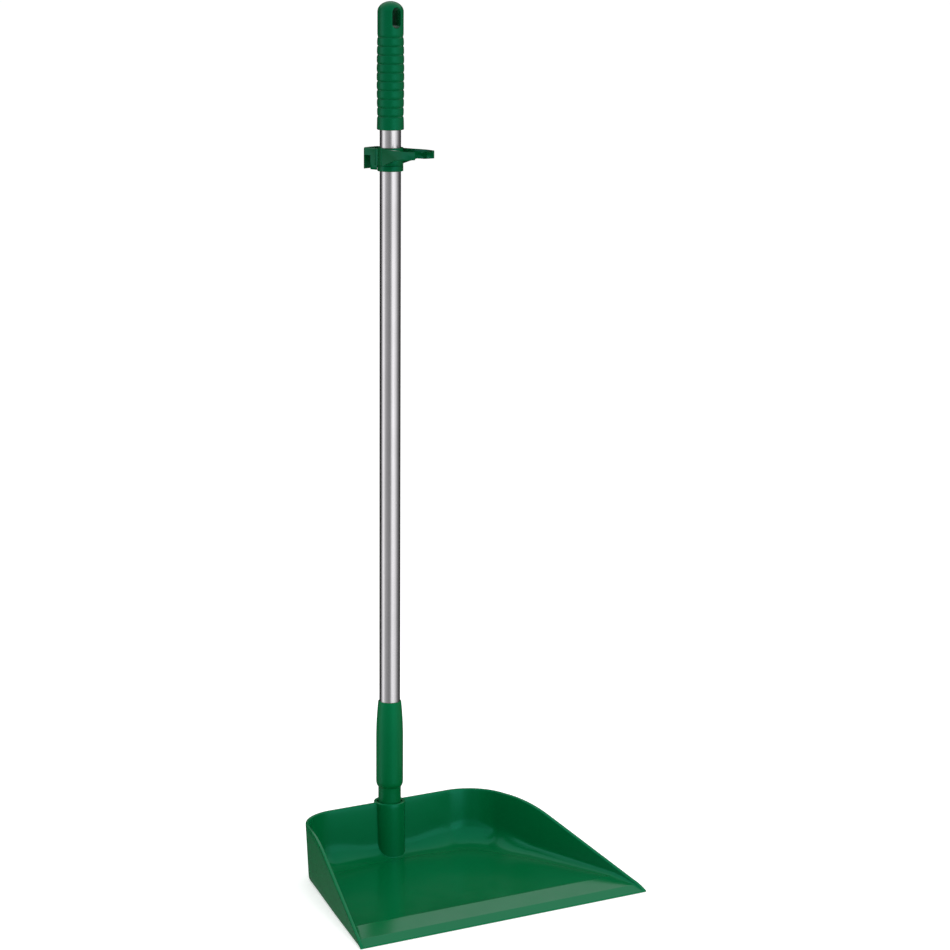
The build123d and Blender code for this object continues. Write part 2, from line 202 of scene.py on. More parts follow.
# ---- materials ----------------------------------------------------------------
class Nodes:
    """A material's node tree, with short calls to add and join nodes."""

    def __init__(self, name):
        self.material = bpy.data.materials.new(name)
        self.material.use_nodes = True
        self.tree = self.material.node_tree
        self.shader = self.tree.nodes["Principled BSDF"]
        self.coords = self.tree.nodes.new("ShaderNodeTexCoord").outputs["Object"]

    def add(self, kind, links=(), **values):
        node = self.tree.nodes.new(kind)
        for name, value in values.items():
            key = name.replace("_", " ").title()
            if key in node.inputs:
                node.inputs[key].default_value = value
            else:
                setattr(node, name, value)
        for source, target in links:
            self.tree.links.new(source, node.inputs[target])
        return node

    def stretched(self, scale):
        """Coordinates scaled along each axis."""
        return self.add("ShaderNodeMapping", [(self.coords, "Vector")], scale=scale).outputs[0]

    def noise(self, scale, detail=2.0, rough=0.5, vector=None):
        node = self.add("ShaderNodeTexNoise", [(vector or self.coords, "Vector")],
                        scale=scale, detail=detail, roughness=rough)
        return node.outputs[0]

    def ramp(self, source, stops):
        node = self.add("ShaderNodeValToRGB", [(source, "Fac")])
        set_stops(node, stops)
        return node.outputs["Color"]

    def spread(self, source, low, high, start=0.3, end=0.7):
        """source from start..end, laid out over low..high."""
        node = self.add("ShaderNodeMapRange", [(source, "Value")])
        node.inputs["From Min"].default_value = start
        node.inputs["From Max"].default_value = end
        node.inputs["To Min"].default_value = low
        node.inputs["To Max"].default_value = high
        return node.outputs[0]

    def mix(self, factor, a, b, mode="MIX"):
        node = self.add("ShaderNodeMix", data_type="RGBA", blend_type=mode)
        if isinstance(factor, float):
            node.inputs[0].default_value = factor
        else:
            self.tree.links.new(factor, node.inputs[0])
        for socket, value in ((node.inputs[6], a), (node.inputs[7], b)):
            if isinstance(value, tuple):
                socket.default_value = (*value, 1)
            else:
                self.tree.links.new(value, socket)
        return node.outputs[2]

    def math(self, operation, a, b):
        node = self.add("ShaderNodeMath", operation=operation)
        for socket, value in zip(node.inputs, (a, b)):
            if isinstance(value, (int, float)):
                socket.default_value = value
            else:
                self.tree.links.new(value, socket)
        return node.outputs[0]

    def bump(self, height, distance, strength, under=None):
        node = self.add("ShaderNodeBump", [(height, "Height")])
        node.inputs["Distance"].default_value = distance
        node.inputs["Strength"].default_value = strength
        if under is not None:
            self.tree.links.new(under, node.inputs["Normal"])
        return node.outputs[0]

    def wire(self, **sockets):
        for name, source in sockets.items():
            self.tree.links.new(source, self.shader.inputs[name.replace("_", " ").title()])


def plastic(name, light, dark, rough, grain=0.1, scuffs=0.0, gloss=0.34):
    """Moulded polypropylene: cloudy colour, fine spark grain, soft waves and light scuffs."""
    n = Nodes(name)
    clouds = n.noise(9.0, 3.0, 0.55)
    colour = n.ramp(clouds, [(0.3, dark), (0.7, light)])
    specks = n.noise(900.0, 2.0, 0.6)
    tint = n.spread(specks, 0.93, 1.05)
    shade = n.mix(1.0, colour, n.ramp(tint, [(0.0, (0, 0, 0)), (1.0, (1, 1, 1))]), "MULTIPLY")
    scratches = n.noise(60.0, 6.0, 0.7, n.stretched((9.0, 0.6, 3.0)))
    rubbed = n.ramp(scratches, [(0.60, (0, 0, 0)), (0.72, (1, 1, 1))])
    pale = tuple(min(1, c * 1.5 + 0.004) for c in light)
    worn = n.mix(n.math("MULTIPLY", rubbed, 0.04 + scuffs), shade, pale)
    patches = n.spread(n.noise(35.0, 4.0, 0.6), rough - 0.02, rough + 0.03)
    roughness = n.math("ADD", patches, n.math("MULTIPLY", rubbed, 0.02 + scuffs))
    waves = n.bump(n.noise(14.0, 1.0), 0.0006, 0.25)
    fine = n.bump(n.noise(1400.0, 3.0, 0.65), 0.0001, grain, waves)
    n.wire(base_color=worn, roughness=roughness, normal=fine)
    n.shader.inputs["IOR"].default_value = 1.49
    n.shader.inputs["Specular IOR Level"].default_value = gloss
    n.shader.inputs["Specular Tint"].default_value = (0.12, 1.0, 0.86, 1)
    return n.material


def anodised(name):
    """Satin anodised drawn tube: fine die lines along it, cloudy sheen, tiny nicks."""
    n = Nodes(name)
    lines = n.noise(420.0, 4.0, 0.7, n.stretched((3.0, 3.0, 0.012)))
    clouds = n.noise(22.0, 3.0, 0.5)
    base = n.mix(n.spread(clouds, 0.0, 1.0), (0.605, 0.59, 0.61), (0.66, 0.645, 0.67))
    lined = n.mix(n.spread(lines, 0.0, 0.5), base, (0.53, 0.525, 0.53))
    pits = n.noise(260.0, 2.0, 0.5, n.stretched((1.0, 1.0, 0.25)))
    nicks = n.ramp(pits, [(0.70, (0, 0, 0)), (0.78, (1, 1, 1))])
    rough = n.math("ADD", n.spread(lines, 0.17, 0.24), n.math("MULTIPLY", nicks, 0.12))
    fine = n.bump(lines, 0.00006, 0.12)
    n.wire(base_color=lined, roughness=rough, normal=fine)
    n.shader.inputs["Metallic"].default_value = 1.0
    return n.material


# ---- pan, in millimetres, in the CAD's frame --------------------------------
def node_span(node):
    """A CAD node's lowest and highest corners, in millimetres."""
    low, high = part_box(node)
    return [c / MM for c in low], [c / MM for c in high]


PAN_LOW, PAN_HIGH = node_span("pan")
PAN_HEIGHT = PAN_HIGH[2] - PAN_LOW[2]
LIP_REACH = -PAN_LOW[1]
LIP_WIDTH = 388.0
BACK_WIDTH = 243.0
BACK_Y = -1.2
CORNER = 52.0
WALL = 4.0
DRAFT = math.tan(math.radians(3.0))
FLARE = (LIP_WIDTH - BACK_WIDTH) / 2 / LIP_REACH
SLANT = math.hypot(1, FLARE)
FLOOR_BACK, CREASE_Y, CREASE_Z = 2.5, -223.0, 9.5
BEVEL_Y, BEVEL_Z = -256.0, 6.4
LIP_Z = 1.4
LIP_ROUND = 0.7
BASE_ROUND = 3.0
BASE_ROUND_BACK = 5.5
RIM_ROUND = 1.5
BACK_FILLET = 20.0           # floor to back wall, behind the socket
FILLET_BACK_Y = -53.0         # the fillets are full size from here back
FOOT_Y = -50.0
FLOOR_THICK = 2.5


def smooth(x):
    x = np.clip(x, 0, 1)
    return x * x * (3 - 2 * x)


def softer(a, b, k):
    """Minimum of a and b with a rounded corner."""
    h = np.maximum(k - np.abs(a - b), 0) / k
    return np.minimum(a, b) - h * h * k / 4


def floor_z(y):
    """Floor: climbs to the crease, then the ramp and the bevel fall to the lip."""
    y = np.asarray(y, float)
    climb = (CREASE_Z - FLOOR_BACK) / (BACK_Y - WALL - CREASE_Y)
    rise = FLOOR_BACK + (BACK_Y - WALL - y) * climb
    ramp = CREASE_Z + (y - CREASE_Y) * (CREASE_Z - BEVEL_Z) / (CREASE_Y - BEVEL_Y)
    bevel = BEVEL_Z + (y - BEVEL_Y) * (BEVEL_Z - LIP_Z) / (BEVEL_Y + LIP_REACH)
    front = np.where(y < BEVEL_Y, bevel, ramp)
    z = softer(rise, front, 0.2)
    edge = np.clip((-LIP_REACH + LIP_ROUND - y) / LIP_ROUND, 0, 1)
    return z - 0.4 * edge ** 2


def under_z(y):
    """Underside: flat foot at the back, shallow hollow, flat under the lip."""
    y = np.asarray(y, float)
    climb = (CREASE_Z - FLOOR_BACK) / (BACK_Y - WALL - CREASE_Y)
    hollow = FLOOR_BACK + (BACK_Y - WALL - y) * climb - FLOOR_THICK
    end = CREASE_Z - FLOOR_THICK
    ramp = end + (y - CREASE_Y) * (end + 1) / (CREASE_Y - BEVEL_Y)
    z = np.maximum(np.minimum(hollow, ramp), 0)
    z = z * smooth((FOOT_Y - y) / 2.0)
    edge = np.clip((-LIP_REACH + LIP_ROUND - y) / LIP_ROUND, 0, 1)
    return z + 0.3 * edge ** 2


def rim_z(y):
    """Rim: level, round shoulder, slope, round nose down to the lip."""
    y = np.asarray(y, float)
    level, start, end = -52.0, -116.0, -254.0
    z_start, z_end = 59.9, 10.2
    run = start - level
    radius = (run ** 2 + (PAN_HEIGHT - z_start) ** 2) / 2 / (PAN_HEIGHT - z_start)
    shoulder = PAN_HEIGHT - radius + np.sqrt(radius ** 2 - np.clip(y - level, run, 0) ** 2)
    slope = z_start + (y - start) * (z_start - z_end) / (start - end)
    length = math.hypot(end - start, z_end - z_start)
    m = np.array([(z_start - z_end) / length, (end - start) / length])
    chord = np.array([-LIP_REACH - end, LIP_Z - z_end])
    nose_radius = chord @ chord / 2 / (chord @ m)
    centre = np.array([end, z_end]) + nose_radius * m
    nose = centre[1] + np.sqrt(np.maximum(nose_radius ** 2 - (y - centre[0]) ** 2, 0))
    return np.where(y > level, PAN_HEIGHT, np.where(y > start, shoulder, np.where(y > end, slope, nose)))


def fillet_r(y, corner):
    """Radius between floor and walls: small at the lip, large at the back corners."""
    side = np.interp(y, [-270, -223, -160, -100, FILLET_BACK_Y], [2.0, 6.0, 11.0, 16.0, 22.0])
    return side + (32.0 - side) * corner


def stations():
    """Left half of the path round the pan: base points, inward steps, fillet sizes."""
    cy = BACK_Y - CORNER
    cx = CORNER * SLANT - BACK_WIDTH / 2 + FLARE * cy
    n_side = np.array([1.0, -FLARE]) / SLANT
    y_end = cy + CORNER * FLARE / SLANT
    # close together at the lip, the bevel and the crease
    ys = [-270, -269.65, -269.2, -268.4, -267, -265, -262.5, -260, -258, -257, -256.4, -256.0]
    ys += [-255.6, -255, -254, -250, -245, -240, -235, -230, -226.5, -225, -224, -223.4, -223]
    ys += [-222.6, -222, -221, -219]
    ys += list(np.linspace(-214, y_end, 38))
    out = []
    for y in ys:
        w = smooth((y + 125) / (y_end + 125))
        g = (1 - w) * np.array([1.0, 0.0]) + w * n_side
        g = g / (g @ n_side)
        base = np.array([-BACK_WIDTH / 2 + FLARE * y, y])
        corner = smooth((y + 100) / (y_end + 100)) * 0.5
        out.append((base, g, fillet_r(y, corner)))
    side_end = len(out)
    a0 = math.pi - math.asin(FLARE / SLANT)
    for i in range(1, 29):
        a = a0 + (math.pi / 2 - a0) * i / 28
        u = np.array([math.cos(a), math.sin(a)])
        turn = i / 28
        size = 0.5 + 0.5 * math.sin(math.pi * turn) if turn < 0.5 else 1 - 0.35 * smooth(2 * turn - 1)
        out.append((np.array([cx, cy]) + CORNER * u, -u, fillet_r(FILLET_BACK_Y, size)))
    for x in np.linspace(cx, 0, 25)[1:]:
        near = smooth((x - cx) / (-cx - 26))
        size = fillet_r(FILLET_BACK_Y, 0.65) * (1 - near) + BACK_FILLET * near
        out.append((np.array([x, BACK_Y]), np.array([0.0, -1.0]), size))
    return out, side_end + 14


def profile(base, g, radius):
    """Section through the wall, from the foot of the fillet over the rim to the underside."""
    cos3, sin3 = 1 / math.hypot(1, DRAFT), DRAFT / math.hypot(1, DRAFT)

    def place(d, z):
        return np.array([base[0] + d * g[0], base[1] + d * g[1], z])

    top = PAN_HEIGHT
    for _ in range(3):
        top = float(rim_z((base + (WALL / 2 - top * DRAFT) * g)[1]))
    ground = float(floor_z(base[1] + (WALL + radius) * g[1]))
    top = max(top, ground + 0.25)
    tall = top - ground
    rim = min(RIM_ROUND, 0.35 * tall)
    r = min(radius, 0.7 * (tall - rim))
    zc = ground + r
    dc = WALL + (r - zc * sin3) / cos3
    pts = []
    n_fillet = 12
    meet = base[1] + (WALL + radius) * g[1]
    start = -math.atan(float(floor_z(meet + g[1]) - floor_z(meet)))
    for i in range(n_fillet + 1):
        a = start + (math.radians(87.0) - start) * i / n_fillet
        p = place(dc - r * math.sin(a), zc - r * math.cos(a))
        local = float(floor_z(p[1]))
        p[2] += (local - ground) * (1 - i / n_fillet)
        pts.append(p)
    z_low, z_high = pts[-1][2], top - rim
    for f in np.linspace(0, 1, 10)[1:]:
        z = z_low + (z_high - z_low) * f
        pts.append(place(WALL - z * DRAFT, z))
    for i in range(1, 6):
        a = math.pi / 2 * i / 5
        pts.append(place(WALL - z_high * DRAFT - rim + rim * math.cos(a), z_high + rim * math.sin(a)))
    for i in range(6):
        a = math.pi / 2 * i / 5
        pts.append(place(-z_high * DRAFT + rim - rim * math.sin(a), z_high + rim * math.cos(a)))
    back = smooth((base[1] + 170) / 120)
    foot = min(BASE_ROUND + (BASE_ROUND_BACK - BASE_ROUND) * back, 0.4 * top)
    for f in np.linspace(0, 1, 10)[1:]:
        z = z_high + (foot - z_high) * f
        pts.append(place(-z * DRAFT, z))
    lift = float(under_z(base[1])) if base[1] < -LIP_REACH + LIP_ROUND else 0.0
    for i in range(1, 6):
        a = math.pi / 2 * i / 5
        z = foot - foot * math.sin(a)
        pts.append(place(-foot * DRAFT * math.cos(a) + foot - foot * math.cos(a), max(z, lift)))
    end = dc
    skirt = max(WALL, foot + 0.3)
    for d in (skirt * 0.97, skirt * 1.05):
        d = min(d, end - 0.2)
        p = place(d, 0)
        p[2] = lift if d < skirt else max(float(under_z(p[1])), lift)
        pts.append(p)
    p = place(end, 0)
    p[2] = max(float(under_z(p[1])), lift)
    pts.append(p)
    return np.array(pts)


def pan_shell():
    """Vertices and faces of the pan without its socket."""
    half, corner = stations()
    left = [profile(*s) for s in half]
    right = [p * [-1, 1, 1] for p in left]
    rings = left + right[-2::-1]
    n, k = len(rings), len(rings[0])
    count_side, count_back = corner + 1, n - 2 * corner
    verts = [tuple(v) for ring in rings for v in ring]
    faces = []
    for s in range(n - 1):
        for i in range(k - 1):
            a = s * k + i
            faces.append((a, a + k, a + k + 1, a + 1))

    def sheet(index, height):
        """Grid inside the rings' ends; index says which end."""
        edge = np.array([ring[index] for ring in rings])
        lefts, rights = edge[:count_side], edge[::-1][:count_side]
        back = edge[corner:n - corner]
        chord = np.cumsum([0, *np.linalg.norm(np.diff(back[:, :2], axis=0), axis=1)])
        v = chord / chord[-1]
        ids = np.zeros((count_side, count_back), int)
        start_y = -130.0
        last = back[:, :2] - ((1 - v)[:, None] * lefts[-1][:2] + v[:, None] * rights[-1][:2])
        pull = [smooth((p[1] - start_y) / (lefts[-1][1] - start_y)) for p in lefts]
        for i in range(count_side):
            for j in range(count_back):
                if i == count_side - 1:
                    ids[i, j] = (corner + j) * k + index % k
                elif j == 0:
                    ids[i, j] = i * k + index % k
                elif j == count_back - 1:
                    ids[i, j] = (n - 1 - i) * k + index % k
                else:
                    xy = (1 - v[j]) * lefts[i][:2] + v[j] * rights[i][:2] + pull[i] * last[j]
                    ids[i, j] = len(verts)
                    verts.append((xy[0], xy[1], float(height(xy[1]))))
        for i in range(count_side - 1):
            for j in range(count_back - 1):
                quad = (ids[i, j], ids[i, j + 1], ids[i + 1, j + 1], ids[i + 1, j])
                faces.append(quad if index == 0 else quad[::-1])
        return ids

    top = sheet(0, floor_z)
    bottom = sheet(-1, under_z)
    for j in range(count_back - 1):
        faces.append((bottom[0, j], bottom[0, j + 1], top[0, j + 1], top[0, j]))
    faces.append(tuple(range(k)))
    faces.append(tuple((n - 1) * k + i for i in range(k - 1, -1, -1)))
    return verts, faces


# ---- socket -----------------------------------------------------------------
SOCKET_R = 19.0
MOUTH_R = 15.0
MOUTH_FLOOR = 59.0
THREAD_TOP = 49.0
THREAD_PITCH = 5.0
THREAD_TURNS = 6
BLEND = 0.9


def socket_profile():
    """(radius, z) corners of the threaded socket, from the foot over the rim and down the bore."""
    top, edge = PAN_HEIGHT, 0.9
    pts = [(0, 0), (SOCKET_R - 1, 0), (SOCKET_R - 0.3, 0.3), (SOCKET_R, 1)]
    pts += [(SOCKET_R, z) for z in np.linspace(6, top - edge, 14)]
    pts += [(SOCKET_R - edge + edge * math.cos(a), top - edge + edge * math.sin(a))
            for a in np.radians([22, 45, 67, 90])]
    pts += [(MOUTH_R + 0.6, top), (MOUTH_R + 0.18, top - 0.18), (MOUTH_R, top - 0.6)]
    pts += [(MOUTH_R, MOUTH_FLOOR), (12.5, MOUTH_FLOOR), (12.5, THREAD_TOP), (10.0, THREAD_TOP)]
    for turn in range(THREAD_TURNS):
        middle = THREAD_TOP - THREAD_PITCH * (turn + 0.5)
        pts += [(10.0, middle + 1.8), (11.3, middle + 1.0), (11.3, middle - 1.0), (10.0, middle - 1.8)]
    return pts + [(10.0, 8), (0, 8)]


def inside_section(offset):
    """(y, z, normal y, normal z) down the back wall, round its fillet and out over the floor."""
    radius = BACK_FILLET
    cos3, sin3 = 1 / math.hypot(1, DRAFT), DRAFT / math.hypot(1, DRAFT)
    ground = float(floor_z(BACK_Y - WALL - radius))
    zc = ground + radius
    yc = BACK_Y - (WALL + (radius - zc * sin3) / cos3)
    pts = []
    z_end = zc - radius * sin3
    for z in np.linspace(PAN_HEIGHT - 1.6, z_end, 14)[:-1]:
        pts.append((BACK_Y - WALL + z * DRAFT, z, -cos3, sin3))
    for a in np.radians(np.linspace(87, 0, 22)):
        pts.append((yc + radius * math.sin(a), zc - radius * math.cos(a), -math.sin(a), math.cos(a)))
    climb = (CREASE_Z - FLOOR_BACK) / (BACK_Y - WALL - CREASE_Y)
    for y in np.linspace(yc, -60, 40)[1:]:
        pts.append((y, float(floor_z(y)), climb, 1.0))
    return [(y + offset * ny, z + offset * nz, ny, nz) for y, z, ny, nz in pts]


def sweep_blend(samples):
    """Closed bead that rounds the corner between the socket and another surface.

    samples: (centre, normal of the other surface, radius).
    """
    verts, faces = [], []
    for centre, normal, size in samples:
        c, n = np.array(centre), np.array(normal)
        axis = np.array([c[0], c[1], 0.0])
        axis /= np.linalg.norm(axis)
        ring = []
        for f in np.linspace(0, 1, 7):
            d = -(1 - f) * axis - f * n
            ring.append(c + size * d / np.linalg.norm(d))
        ring.append(c - n * (size + 1.0) - axis * 0.3)
        ring.append(c - (n + axis) / np.linalg.norm(n + axis) * (size * 1.6 + 1.0))
        ring.append(c - axis * (size + 1.0) - n * 0.3)
        verts += [tuple(p) for p in ring]
    k = 10
    for s in range(len(samples) - 1):
        for i in range(k):
            a, b = s * k + i, s * k + (i + 1) % k
            faces.append((a, b, b + k, a + k))
    faces.append(tuple(range(k - 1, -1, -1)))
    faces.append(tuple((len(samples) - 1) * k + i for i in range(k)))
    return verts, faces


def inner_blend():
    """Bead from the rim down the back wall, over the fillet and round the socket's front."""
    reach = SOCKET_R + BLEND
    path = [p for p in inside_section(BLEND) if p[0] > -reach]
    beyond = next(p for p in inside_section(BLEND) if p[0] <= -reach)
    last = path[-1]
    share = (last[0] + reach) / (last[0] - beyond[0])
    front = tuple(a + (b - a) * share for a, b in zip(last, beyond))
    fine = []
    for a, b in zip(path + [front], (path + [front])[1:]):
        steps = 1 + int(abs(b[0] - a[0]) / 0.5)
        for i in range(steps):
            fine.append(tuple(x + (w - x) * i / steps for x, w in zip(a, b)))
    half = []
    for y, z, ny, nz in fine:
        n = np.array([0.0, ny, nz]) / math.hypot(ny, nz)
        half.append(((-math.sqrt(max(reach ** 2 - y ** 2, 0)), y, z), n, BLEND))
    y, z, ny, nz = front
    mid = [((0.0, -reach, z), np.array([0.0, ny, nz]) / math.hypot(ny, nz), BLEND)]
    # even spacing round the front, where y changes little
    tail = []
    x_last = half[-1][0][0]
    for x in np.linspace(x_last, 0, 8)[1:-1]:
        tail.append(((x, -math.sqrt(reach ** 2 - x ** 2), z), mid[0][1], BLEND))
    half += tail
    other = [((-c[0], c[1], c[2]), n, r) for c, n, r in half[::-1]]
    return sweep_blend(half + mid + other)


def outer_blend(side):
    """Bead down the back of the wall, beside the socket."""
    samples = []
    reach = SOCKET_R + BLEND
    for z in np.linspace(1.0, PAN_HEIGHT - 1.6, 20):
        y = BACK_Y + z * DRAFT + BLEND
        n = np.array([0.0, 1.0, -DRAFT]) / math.hypot(1, DRAFT)
        samples.append(((side * math.sqrt(reach ** 2 - y ** 2), y, z), n, BLEND))
    return sweep_blend(samples)


# ---- meshes ---------------------------------------------------------------------
def make_piece(name, verts, faces, body, slot, material, node=None, sharp=38.0):
    """A mesh piece from millimetres, smooth but for edges sharper than the angle."""
    mesh = bpy.data.meshes.new(name)
    places = [tuple(MM * c for c in v) for v in verts]
    mesh.from_pydata(places, [], [tuple(int(i) for i in f) for f in faces])
    mesh.validate()
    mesh.shade_smooth()
    mesh.set_sharp_from_angle(angle=math.radians(sharp))
    mesh.materials.append(material)
    obj = bpy.data.objects.new(name, mesh)
    scene.collection.objects.link(obj)
    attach(obj, body)
    if node:
        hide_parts(node)
    return obj


def lathe(points, segments=128):
    """Closed surface of revolution from (radius, z) corners, first and last on the axis or joined."""
    verts, rings = [], []
    for r, z in points:
        if r <= 1e-9:
            rings.append([len(verts)] * segments)
            verts.append((0.0, 0.0, z))
            continue
        rings.append(list(range(len(verts), len(verts) + segments)))
        for i in range(segments):
            a = 2 * math.pi * i / segments
            verts.append((r * math.cos(a), r * math.sin(a), z))
    faces = []
    closed = points[0][0] > 1e-9
    pairs = list(zip(rings, rings[1:])) + ([(rings[-1], rings[0])] if closed else [])
    for low, high in pairs:
        for i in range(segments):
            j = (i + 1) % segments
            face = [low[i], low[j], high[j], high[i]]
            face = [v for n, v in enumerate(face) if v != face[n - 1]]
            if len(face) > 2:
                faces.append(face)
    return verts, faces


def hermite(a, b, ta, tb, count):
    """Points of a smooth run from a to b that leaves along ta and arrives along tb."""
    a, b = np.array(a, float), np.array(b, float)
    size = np.linalg.norm(b - a)
    ta = np.array(ta, float) / np.linalg.norm(ta) * size
    tb = np.array(tb, float) / np.linalg.norm(tb) * size
    out = []
    for t in np.linspace(0, 1, count):
        h = (2 * t**3 - 3 * t**2 + 1, t**3 - 2 * t**2 + t, -2 * t**3 + 3 * t**2, t**3 - t**2)
        out.append(tuple(h[0] * a + h[1] * ta + h[2] * b + h[3] * tb))
    return out


def rounded(corner_in, corner, corner_out, radius, count=4):
    """Points that round a profile's corner by about the radius."""
    c = np.array(corner, float)
    u = np.array(corner_in, float) - c
    v = np.array(corner_out, float) - c
    a, b = c + u / np.linalg.norm(u) * radius, c + v / np.linalg.norm(v) * radius
    return [tuple((1 - t) ** 2 * a + 2 * t * (1 - t) * c + t * t * b) for t in np.linspace(0, 1, count)]


# ---- handle -----------------------------------------------------------------
NECK_TOP = 89.4
FERRULE_R = 16.35
WAIST_TOP = 150.0
FERRULE_TOP = 196.5
TUBE_R = 12.5
TUBE_LOW, TUBE_HIGH = 112.0, 1000.0
GRIP_LOW, GRIP_HIGH = 885.3, 1033.6
RIBS, RIB_PITCH, RIB_FIRST = 9, 10.15, 15.7
RIB_STEPS = (0, 0.02, 0.05, 0.1, 0.18, 0.3, 0.5, 0.7, 0.82, 0.9, 0.95, 0.98)
GROOVE = 1.05
GRIP_R, BELLY_R, GRIP_END_R = 15.3, 16.05, 15.9
DOME = 12.1
SLOT_Z, SLOT_HALF, SLOT_STRAIGHT, SLOT_EDGE = 1014.7, 5.5, 6.5, 0.7


def ferrule_profile():
    """(radius, z) corners of the ferrule, up its outside and down its bore."""
    pts = [(0, 18), (9.2, 18), (9.7, 18.5)]
    for turn in range(THREAD_TURNS - 1, -1, -1):
        middle = THREAD_TOP - THREAD_PITCH * (turn + 0.5)
        pts += [(9.7, middle - 1.5), (11.0, middle - 0.7), (11.0, middle + 0.7), (9.7, middle + 1.5)]
    pts += [(9.7, 49.3), (12.4, 49.3), (12.4, 59.3)]
    pts += rounded((12.4, 59.3), (13.75, 59.3), (13.75, 80), 0.4)
    pts += [(13.75, 72), (13.75, 80), (13.75, 88.6)]
    pts += hermite((13.9, NECK_TOP), (FERRULE_R, 97.4), (1, 0.9), (0, 1), 16)
    pts += [(FERRULE_R, z) for z in np.linspace(104, 144, 6)]
    pts += hermite((FERRULE_R, WAIST_TOP), (13.98, 195.9), (0, 1), (-0.1, 1), 18)
    pts += [(13.9, 196.25), (13.6, FERRULE_TOP), (12.75, FERRULE_TOP), (12.54, 196.3)]
    return pts + [(12.54, TUBE_LOW), (6.5, TUBE_LOW), (6.5, 22), (0, 22)]


def tube_profile():
    """(radius, z) corners of the tube, up its outside and down its bore."""
    outer = [(TUBE_R, z) for z in np.linspace(TUBE_LOW + 0.4, TUBE_HIGH - 0.4, 40)]
    start = [(11.4, TUBE_LOW), (12.3, TUBE_LOW)]
    end = [(12.3, TUBE_HIGH), (11.4, TUBE_HIGH)]
    bore = [(11.3, TUBE_HIGH - 0.2), (11.3, TUBE_LOW + 0.2)]
    return start + outer + end + bore


def grip_radius(z):
    """Outside of the grip at a height, ribs and dome included."""
    h = z - GRIP_LOW
    ribs_top = RIB_FIRST + RIBS * RIB_PITCH
    half = RIBS * RIB_PITCH / 2 + RIB_PITCH / 2

    def barrel(height):
        return BELLY_R - (BELLY_R - GRIP_R) * ((height - RIB_FIRST - RIBS * RIB_PITCH / 2) / half) ** 2

    if h < RIB_FIRST:
        groove = barrel(RIB_FIRST) - GROOVE
        t = h / RIB_FIRST
        return GRIP_END_R - 0.35 * t - (GRIP_END_R - 0.35 - groove) * max(0.0, (t - 0.86) / 0.14) ** 1.6
    if h < ribs_top:
        place = (h - RIB_FIRST) / RIB_PITCH
        share = abs(2 * (place - math.floor(place)) - 1)
        return barrel(h) - GROOVE * share ** 4.5
    dome_start = GRIP_HIGH - DOME
    if z <= dome_start:
        t = min(1.0, (h - ribs_top) / (RIB_PITCH / 2))
        return GRIP_R - (GRIP_R - barrel(ribs_top) + GROOVE) * (1 - t) ** 2.6
    return GRIP_R * math.sqrt(max(0.0, 1 - ((z - dome_start) / DOME) ** 2))


